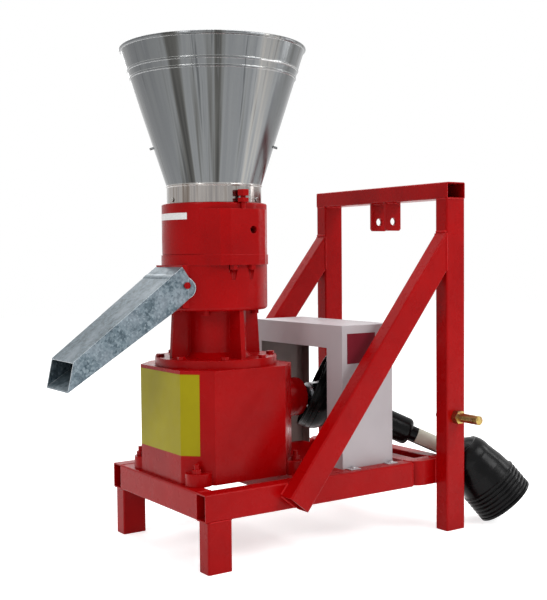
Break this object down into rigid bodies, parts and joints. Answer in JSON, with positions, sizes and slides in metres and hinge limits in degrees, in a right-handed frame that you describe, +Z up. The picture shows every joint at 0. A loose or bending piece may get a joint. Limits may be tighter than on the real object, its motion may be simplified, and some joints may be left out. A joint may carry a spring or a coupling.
{
  "type": "pellet mill",
  "caption": "Flat-die pellet mill with feed hopper, side chute and bevel gearbox on a three-point hitch frame, with a swinging telescopic driveline.",
  "frame": {"origin": "middle of the bounding box, on the ground", "axes": "+X from the chute end to the hitch, +Y to the mill's left seen from the chute end looking along +X, +Z up"},
  "size_m": [1.1546, 0.682, 1.1563],
  "materials": {
    "frame_paint": "gloss red enamel",
    "casting_paint": "gloss red enamel over a casting",
    "galvanised": "bright galvanised sheet",
    "hopper_sheet": "bright tinned sheet",
    "machined_steel": "machined",
    "tool_steel": "ground",
    "bronze": "machined",
    "guard_white": "white powder coat",
    "black_plastic": "moulded, glossy",
    "seal_rubber": "matt",
    "zinc_yellow": "yellow zinc plate",
    "bright_zinc": "bright zinc plate"
  },
  "bodies": {
    "frame": {"rail_right": "frame_paint", "rail_left": "frame_paint", "front_crossmember": "frame_paint", "middle_crossmember": "frame_paint", "hitch_beam": "frame_paint", "rear_crossmember": "frame_paint", "leg_right": "frame_paint", "leg_left": "frame_paint", "upright_right": "frame_paint", "upright_left": "frame_paint", "top_crossbar": "frame_paint", "brace_right": "frame_paint", "brace_left": "frame_paint", "top_link_clevis": "frame_paint", "lower_link_pins": "zinc_yellow", "lower_link_nuts": "zinc_yellow", "gearbox_housing": "casting_paint", "gearbox_foot_bolts": "casting_paint", "spindle_housing": "casting_paint", "flange_bolts": "casting_paint", "input_bearing_nose": "casting_paint", "input_seal": "seal_rubber", "spindle_bearings": "machined_steel", "input_bearings": "machined_steel", "spindle_seal": "seal_rubber", "lower_chamber": "casting_paint", "chute": "galvanised", "chute_bolts": "casting_paint", "upper_chamber": "casting_paint", "adjusting_nuts": "casting_paint", "chamber_bolts": "casting_paint", "hopper": "hopper_sheet", "collar_screws": "hopper_sheet", "hopper_side_pins": "hopper_sheet", "guard_box": "guard_white", "guard_screws": "bright_zinc"},
    "spindle": {"main_spindle": "machined_steel", "bevel_gear": "machined_steel", "flat_die": "tool_steel", "die_nut": "machined_steel", "sweeper": "machined_steel"},
    "input": {"input_shaft": "machined_steel", "bevel_pinion": "machined_steel", "input_yoke": "machined_steel"},
    "axle": {"roller_axle": "machined_steel", "roller_bearings": "bronze", "adjusting_bolts": "casting_paint"},
    "roller_r": {"roller_right": "tool_steel"},
    "roller_l": {"roller_left": "tool_steel"},
    "joint_cross": {"inner_cross": "machined_steel"},
    "drive_guard": {"inner_bell": "black_plastic", "guard_tube_outer": "black_plastic"},
    "drive_shaft": {"outer_profile_tube": "machined_steel"},
    "tail_guard": {"guard_tube_inner": "black_plastic", "guard_ball": "black_plastic"},
    "tail_shaft": {"inner_profile_shaft": "machined_steel", "outer_cross": "machined_steel"},
    "tail_bell": {"outer_bell": "black_plastic"},
    "yoke": {"tractor_yoke": "machined_steel"},
    "pin": {"lock_pin": "bright_zinc"}
  },
  "joints": [
    {"name": "spindle_spin", "type": "hinge", "parent": "frame", "child": "spindle", "pos_m": [-0.17831, 0, 0.679], "axis": [0, 0, 1], "continuous": true},
    {"name": "input_spin", "type": "hinge", "parent": "frame", "child": "input", "pos_m": [0.13269, 0, 0.326], "axis": [1, 0, 0], "continuous": true},
    {"name": "axle_lift", "type": "slide", "parent": "frame", "child": "axle", "axis": [0, 0, 1], "range_m": [0, 0.006]},
    {"name": "roller_right_spin", "type": "hinge", "parent": "axle", "child": "roller_r", "pos_m": [-0.17831, -0.055, 0.7293], "axis": [0, 1, 0], "continuous": true},
    {"name": "roller_left_spin", "type": "hinge", "parent": "axle", "child": "roller_l", "pos_m": [-0.17831, 0.055, 0.7293], "axis": [0, 1, 0], "continuous": true},
    {"name": "drive_swing", "type": "hinge", "parent": "frame", "child": "joint_cross", "pos_m": [0.13269, 0, 0.326], "axis": [0, 0, 1], "range_deg": [0, 70]},
    {"name": "drive_lift", "type": "hinge", "parent": "joint_cross", "child": "drive_guard", "pos_m": [0.13269, 0, 0.326], "axis": [-0.5736, -0.8192, 0], "range_deg": [0, 50]},
    {"name": "drive_spin", "type": "hinge", "parent": "drive_guard", "child": "drive_shaft", "pos_m": [0.13269, 0, 0.326], "axis": [0.746, -0.5223, -0.4131], "continuous": true},
    {"name": "guard_slide", "type": "slide", "parent": "drive_guard", "child": "tail_guard", "axis": [0.746, -0.5223, -0.4131], "range_m": [0, 0.06]},
    {"name": "shaft_slide", "type": "slide", "parent": "drive_shaft", "child": "tail_shaft", "axis": [0.746, -0.5223, -0.4131], "range_m": [0, 0.06]},
    {"name": "tail_bend", "type": "hinge", "parent": "tail_guard", "child": "tail_bell", "pos_m": [0.44004, -0.21521, 0.1558], "axis": [-0.5736, -0.8192, 0], "range_deg": [0, 35]},
    {"name": "yoke_spin", "type": "hinge", "parent": "tail_bell", "child": "yoke", "pos_m": [0.44004, -0.21521, 0.1558], "axis": [0.5265, -0.3687, -0.766], "continuous": true},
    {"name": "lock_push", "type": "slide", "parent": "yoke", "child": "pin", "axis": [-0.6275, 0.4394, -0.6428], "range_m": [0, 0.004], "stiffness_N_per_m": 2000}
  ],
  "couplings": [
    {"joint": "input_spin", "follows": "spindle_spin", "ratio": 3},
    {"joint": "roller_left_spin", "follows": "spindle_spin", "ratio": 1.1},
    {"joint": "roller_right_spin", "follows": "spindle_spin", "ratio": -1.1},
    {"joint": "drive_spin", "follows": "spindle_spin", "ratio": 3},
    {"joint": "yoke_spin", "follows": "spindle_spin", "ratio": 3},
    {"joint": "shaft_slide", "follows": "guard_slide", "ratio": 1}
  ]
}
